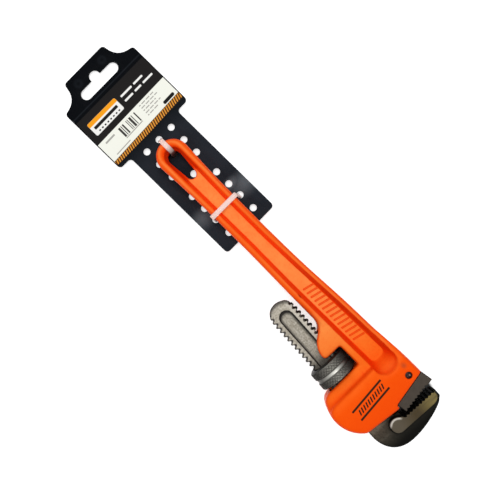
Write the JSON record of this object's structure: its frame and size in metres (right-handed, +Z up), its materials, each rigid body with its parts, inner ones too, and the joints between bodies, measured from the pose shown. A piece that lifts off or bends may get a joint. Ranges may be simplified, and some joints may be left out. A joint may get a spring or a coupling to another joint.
{
  "type": "pipe wrench",
  "caption": "Pipe wrench with an adjustable toothed hook jaw, threaded shank and knurled nut, tied to a hang card.",
  "frame": {"origin": "centre of the bounding box at the plane under the adjusting nut, the lowest piece of the wrench as it lies on its side", "axes": "+X along the hook jaw's shank, from the card towards the hook; +Y from the shank towards the handle; +Z up, out of the wrench's upper side"},
  "size_m": [0.326, 0.0674, 0.0264],
  "materials": {
    "orange_paint": "satin paint on cast iron",
    "heel_steel": "dark heat-treated steel",
    "dark_steel": "blackened steel",
    "jaw_steel": "phosphated forged steel",
    "nut_steel": "blackened knurled steel",
    "spring_steel": "spring steel",
    "card_plastic": "satin black plastic sheet",
    "label_paper": "printed paper",
    "tie_nylon": "milky translucent nylon"
  },
  "bodies": {
    "wrench_frame": {"handle": "orange_paint", "heel_jaw": "heel_steel", "heel_jaw_pin": "dark_steel", "flat_spring": "spring_steel", "coil_spring": "spring_steel", "spring_rivet": "spring_steel", "hang_card": "card_plastic", "card_label": "label_paper", "loop_tie": "tie_nylon", "handle_tie": "tie_nylon"},
    "adjusting_nut": {"adjusting_nut": "nut_steel"},
    "hook_jaw": {"hook_jaw": "jaw_steel"}
  },
  "joints": [
    {"name": "nut_spin", "type": "hinge", "parent": "wrench_frame", "child": "adjusting_nut", "pos_m": [0.09588, -0.01263, 0.0132], "axis": [-1, 0, 0], "range_deg": [-80.1, 4390.1]},
    {"name": "jaw_slide", "type": "slide", "parent": "wrench_frame", "child": "hook_jaw", "axis": [1, 0, 0], "range_m": [-0.0008, 0.0439]}
  ],
  "couplings": [
    {"joint": "nut_spin", "follows": "jaw_slide", "rad_per_m": 1745.3}
  ]
}
